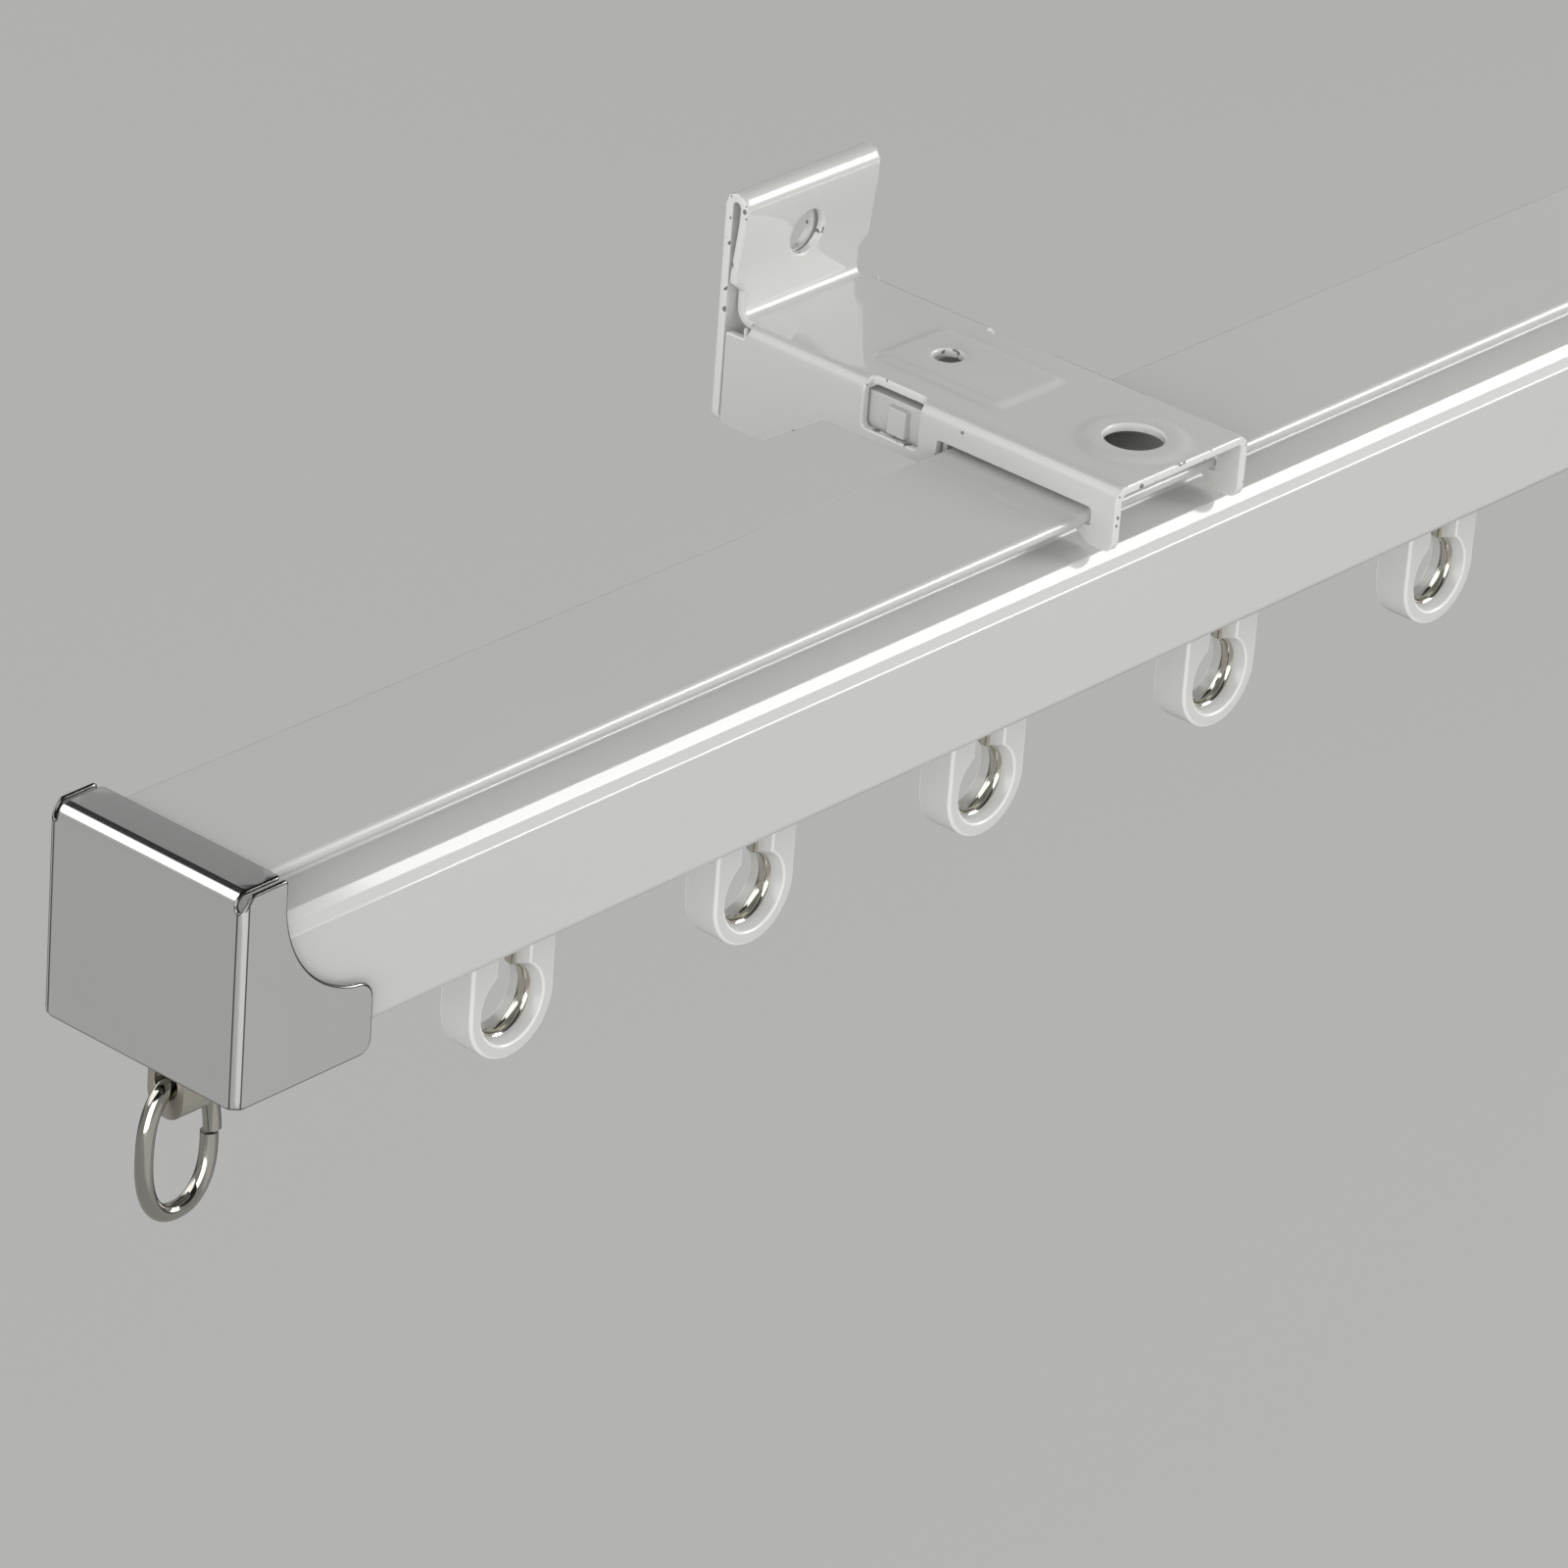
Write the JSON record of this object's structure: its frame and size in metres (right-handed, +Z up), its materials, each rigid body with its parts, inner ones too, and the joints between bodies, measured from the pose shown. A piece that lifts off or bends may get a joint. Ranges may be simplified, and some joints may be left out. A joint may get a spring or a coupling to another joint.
{
  "type": "curtain track",
  "caption": "Wall-mounted curtain track: roll-formed rail on stamped brackets, folded end caps with hanging rings, and wheeled runners with keyhole eyes that slide along it.",
  "frame": {"origin": "on the wall plane, midway between the two bracket screw holes", "axes": "X along the rail, +Y into the wall, +Z up"},
  "size_m": [0.42, 0.0532, 0.0575],
  "materials": {
    "rail_paint": "satin off-white enamel on steel strip",
    "bracket_paint": "satin white enamel on pressed steel",
    "cap_plate": "satin chrome plate on folded sheet",
    "stop_casting": "plated zinc casting",
    "screw_steel": "zinc plated steel",
    "ring_nickel": "bright nickel plated wire",
    "lock_plastic": "white moulded acetal",
    "runner_plastic": "off-white moulded nylon",
    "core_steel": "nickel plated steel strip",
    "axle_steel": "bright steel pin",
    "wheel_plastic": "black moulded acetal"
  },
  "bodies": {
    "track": {"rail": "rail_paint", "left_end_cap": "cap_plate", "left_end_stop": "stop_casting", "left_stop_screw": "screw_steel", "left_bracket": "bracket_paint", "right_end_cap": "cap_plate", "right_end_stop": "stop_casting", "right_stop_screw": "screw_steel", "right_bracket": "bracket_paint"},
    "left_ring": {"left_end_ring": "ring_nickel"},
    "left_lock": {"left_rail_lock": "lock_plastic"},
    "right_ring": {"right_end_ring": "ring_nickel"},
    "right_lock": {"right_rail_lock": "lock_plastic"},
    "runner_1": {"runner_1_body": "runner_plastic", "runner_1_core": "core_steel", "runner_1_axle": "axle_steel"},
    "runner_1_front_wheel": {"runner_1_front_wheel": "wheel_plastic"},
    "runner_1_back_wheel": {"runner_1_back_wheel": "wheel_plastic"},
    "runner_2": {"runner_2_body": "runner_plastic", "runner_2_core": "core_steel", "runner_2_axle": "axle_steel"},
    "runner_2_front_wheel": {"runner_2_front_wheel": "wheel_plastic"},
    "runner_2_back_wheel": {"runner_2_back_wheel": "wheel_plastic"},
    "runner_3": {"runner_3_body": "runner_plastic", "runner_3_core": "core_steel", "runner_3_axle": "axle_steel"},
    "runner_3_front_wheel": {"runner_3_front_wheel": "wheel_plastic"},
    "runner_3_back_wheel": {"runner_3_back_wheel": "wheel_plastic"},
    "runner_4": {"runner_4_body": "runner_plastic", "runner_4_core": "core_steel", "runner_4_axle": "axle_steel"},
    "runner_4_front_wheel": {"runner_4_front_wheel": "wheel_plastic"},
    "runner_4_back_wheel": {"runner_4_back_wheel": "wheel_plastic"},
    "runner_5": {"runner_5_body": "runner_plastic", "runner_5_core": "core_steel", "runner_5_axle": "axle_steel"},
    "runner_5_front_wheel": {"runner_5_front_wheel": "wheel_plastic"},
    "runner_5_back_wheel": {"runner_5_back_wheel": "wheel_plastic"}
  },
  "joints": [
    {"name": "left_ring_swing", "type": "hinge", "parent": "track", "child": "left_ring", "pos_m": [-0.20435, -0.0404, -0.03586], "axis": [1, 0, 0], "range_deg": [-85, 85]},
    {"name": "left_lock_slide", "type": "slide", "parent": "track", "child": "left_lock", "axis": [0, 1, 0], "range_m": [0, 0.0022]},
    {"name": "right_ring_swing", "type": "hinge", "parent": "track", "child": "right_ring", "pos_m": [0.20435, -0.0404, -0.03586], "axis": [1, 0, 0], "range_deg": [-85, 85]},
    {"name": "right_lock_slide", "type": "slide", "parent": "track", "child": "right_lock", "axis": [0, 1, 0], "range_m": [0, 0.0022]},
    {"name": "runner_1_slide", "type": "slide", "parent": "track", "child": "runner_1", "axis": [1, 0, 0], "range_m": [-0.0268, 0.0112]},
    {"name": "runner_1_front_wheel_spin", "type": "hinge", "parent": "runner_1", "child": "runner_1_front_wheel", "pos_m": [-0.1619, -0.0404, -0.025], "axis": [0, 1, 0], "continuous": true},
    {"name": "runner_1_back_wheel_spin", "type": "hinge", "parent": "runner_1", "child": "runner_1_back_wheel", "pos_m": [-0.1619, -0.0404, -0.025], "axis": [0, 1, 0], "continuous": true},
    {"name": "runner_2_slide", "type": "slide", "parent": "track", "child": "runner_2", "axis": [1, 0, 0], "range_m": [-0.0112, 0.0114]},
    {"name": "runner_2_front_wheel_spin", "type": "hinge", "parent": "runner_2", "child": "runner_2_front_wheel", "pos_m": [-0.1276, -0.0404, -0.025], "axis": [0, 1, 0], "continuous": true},
    {"name": "runner_2_back_wheel_spin", "type": "hinge", "parent": "runner_2", "child": "runner_2_back_wheel", "pos_m": [-0.1276, -0.0404, -0.025], "axis": [0, 1, 0], "continuous": true},
    {"name": "runner_3_slide", "type": "slide", "parent": "track", "child": "runner_3", "axis": [1, 0, 0], "range_m": [-0.0114, 0.01245]},
    {"name": "runner_3_front_wheel_spin", "type": "hinge", "parent": "runner_3", "child": "runner_3_front_wheel", "pos_m": [-0.0929, -0.0404, -0.025], "axis": [0, 1, 0], "continuous": true},
    {"name": "runner_3_back_wheel_spin", "type": "hinge", "parent": "runner_3", "child": "runner_3_back_wheel", "pos_m": [-0.0929, -0.0404, -0.025], "axis": [0, 1, 0], "continuous": true},
    {"name": "runner_4_slide", "type": "slide", "parent": "track", "child": "runner_4", "axis": [1, 0, 0], "range_m": [-0.01245, 0.0124]},
    {"name": "runner_4_front_wheel_spin", "type": "hinge", "parent": "runner_4", "child": "runner_4_front_wheel", "pos_m": [-0.0561, -0.0404, -0.025], "axis": [0, 1, 0], "continuous": true},
    {"name": "runner_4_back_wheel_spin", "type": "hinge", "parent": "runner_4", "child": "runner_4_back_wheel", "pos_m": [-0.0561, -0.0404, -0.025], "axis": [0, 1, 0], "continuous": true},
    {"name": "runner_5_slide", "type": "slide", "parent": "track", "child": "runner_5", "axis": [1, 0, 0], "range_m": [-0.0124, 0.2081]},
    {"name": "runner_5_front_wheel_spin", "type": "hinge", "parent": "runner_5", "child": "runner_5_front_wheel", "pos_m": [-0.0194, -0.0404, -0.025], "axis": [0, 1, 0], "continuous": true},
    {"name": "runner_5_back_wheel_spin", "type": "hinge", "parent": "runner_5", "child": "runner_5_back_wheel", "pos_m": [-0.0194, -0.0404, -0.025], "axis": [0, 1, 0], "continuous": true}
  ],
  "couplings": [
    {"joint": "runner_1_front_wheel_spin", "follows": "runner_1_slide", "rad_per_m": 229.89},
    {"joint": "runner_1_back_wheel_spin", "follows": "runner_1_slide", "rad_per_m": 229.89},
    {"joint": "runner_2_front_wheel_spin", "follows": "runner_2_slide", "rad_per_m": 229.89},
    {"joint": "runner_2_back_wheel_spin", "follows": "runner_2_slide", "rad_per_m": 229.89},
    {"joint": "runner_3_front_wheel_spin", "follows": "runner_3_slide", "rad_per_m": 229.89},
    {"joint": "runner_3_back_wheel_spin", "follows": "runner_3_slide", "rad_per_m": 229.89},
    {"joint": "runner_4_front_wheel_spin", "follows": "runner_4_slide", "rad_per_m": 229.89},
    {"joint": "runner_4_back_wheel_spin", "follows": "runner_4_slide", "rad_per_m": 229.89},
    {"joint": "runner_5_front_wheel_spin", "follows": "runner_5_slide", "rad_per_m": 229.89},
    {"joint": "runner_5_back_wheel_spin", "follows": "runner_5_slide", "rad_per_m": 229.89}
  ]
}
